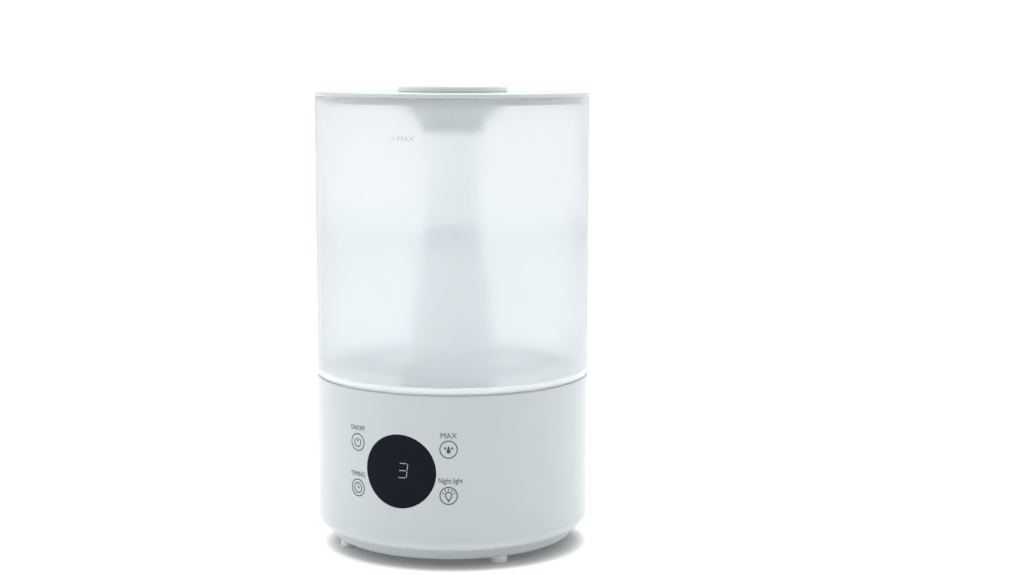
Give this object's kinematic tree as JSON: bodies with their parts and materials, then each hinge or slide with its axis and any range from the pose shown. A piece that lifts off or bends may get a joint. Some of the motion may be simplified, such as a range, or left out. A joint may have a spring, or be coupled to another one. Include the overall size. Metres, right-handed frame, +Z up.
{
  "type": "cool mist humidifier",
  "caption": "Round top-fill ultrasonic cool mist humidifier: white base with a black display and touch keys, frosted lift-off water tank, lid and turning mist nozzle.",
  "frame": {"origin": "on the table, under the middle of the four feet", "axes": "+Z up along the body's axis, -Y out of the display"},
  "size_m": [0.165, 0.165, 0.277],
  "materials": {
    "white_plastic": "glossy white moulded ABS",
    "basin_plastic": "satin white moulded plastic",
    "frosted_tank": "frosted translucent plastic",
    "tank_floor_plastic": "milky translucent plastic",
    "black_gloss": "glossy black window",
    "black_plastic": "satin black plastic",
    "black_resin": "moulded black resin",
    "digit_body": "dark grey display body",
    "circuit_board": "green solder mask",
    "steel": "plated steel",
    "transducer_face": "nickel-faced ceramic disc",
    "silicone": "milky silicone",
    "aluminium": "plain aluminium",
    "capacitor_can": "dark sleeved can",
    "copper": "enamelled copper winding",
    "connector_nylon": "cream nylon",
    "float_plastic": "white foamed plastic",
    "magnet": "ferrite",
    "light_lens": "milky window",
    "led_resin": "clear resin",
    "lead_red": "insulated lead",
    "lead_black": "insulated lead",
    "lead_white": "insulated lead"
  },
  "bodies": {
    "base": {"feet": "white_plastic", "bottom_cover": "white_plastic", "base_shell": "white_plastic", "case_screws": "steel", "basin": "basin_plastic", "display_lens": "black_gloss", "display_board": "circuit_board", "display_screws": "steel", "digit_display": "digit_body", "infrared_receiver": "black_resin", "touch_springs": "steel", "transducer_disc": "transducer_face", "transducer_seal": "silicone", "transducer_clamp": "steel", "transducer_screws": "steel", "fan_frame": "black_plastic", "air_duct": "basin_plastic", "fan_screws": "steel", "main_board": "circuit_board", "board_screws": "steel", "heat_sink": "aluminium", "power_transistor": "black_resin", "capacitors": "capacitor_can", "inductor": "copper", "board_connectors": "connector_nylon", "power_inlet": "black_plastic", "inlet_pin": "steel", "inlet_board": "circuit_board", "float_clip": "basin_plastic", "float_sensor": "black_resin", "night_light_lens": "light_lens", "night_light_board": "circuit_board", "night_light_leds": "led_resin", "transducer_leads": "lead_red", "fan_leads": "lead_black", "inlet_leads": "lead_red", "display_leads": "lead_white", "float_leads": "lead_white", "night_light_leads": "lead_black"},
    "fan": {"fan_rotor": "black_plastic"},
    "float": {"level_float": "float_plastic", "float_magnet": "magnet"},
    "tank": {"tank_shell": "frosted_tank", "tank_floor": "tank_floor_plastic", "chimney": "tank_floor_plastic", "valve_cage": "white_plastic", "valve_spring": "steel"},
    "valve": {"valve_plunger": "white_plastic", "valve_seal": "silicone"},
    "lid": {"lid": "white_plastic"},
    "insert": {"nozzle_insert": "white_plastic"},
    "nozzle": {"nozzle_cap": "white_plastic"}
  },
  "joints": [
    {"name": "tank_lift", "type": "slide", "parent": "base", "child": "tank", "axis": [0, 0, 1], "range_m": [0, 0.12]},
    {"name": "lid_lift", "type": "slide", "parent": "tank", "child": "lid", "axis": [0, 0, 1], "range_m": [0, 0.06]},
    {"name": "insert_lift", "type": "slide", "parent": "lid", "child": "insert", "axis": [0, 0, 1], "range_m": [0, 0.04]},
    {"name": "nozzle_turn", "type": "hinge", "parent": "insert", "child": "nozzle", "pos_m": [0, 0, 0.2728], "axis": [0, 0, 1], "continuous": true},
    {"name": "float_rise", "type": "slide", "parent": "base", "child": "float", "axis": [0, 0, 1], "range_m": [0, 0.005]},
    {"name": "valve_close", "type": "slide", "parent": "tank", "child": "valve", "axis": [0, 0, -1], "range_m": [0, 0.00245], "deforming": ["valve_spring"]},
    {"name": "fan_spin", "type": "hinge", "parent": "base", "child": "fan", "pos_m": [0, 0.042, 0.0432], "axis": [0, 0, 1], "continuous": true}
  ],
  "couplings": [
    {"joint": "valve_close", "follows": "tank_lift", "ratio": 0.02}
  ]
}
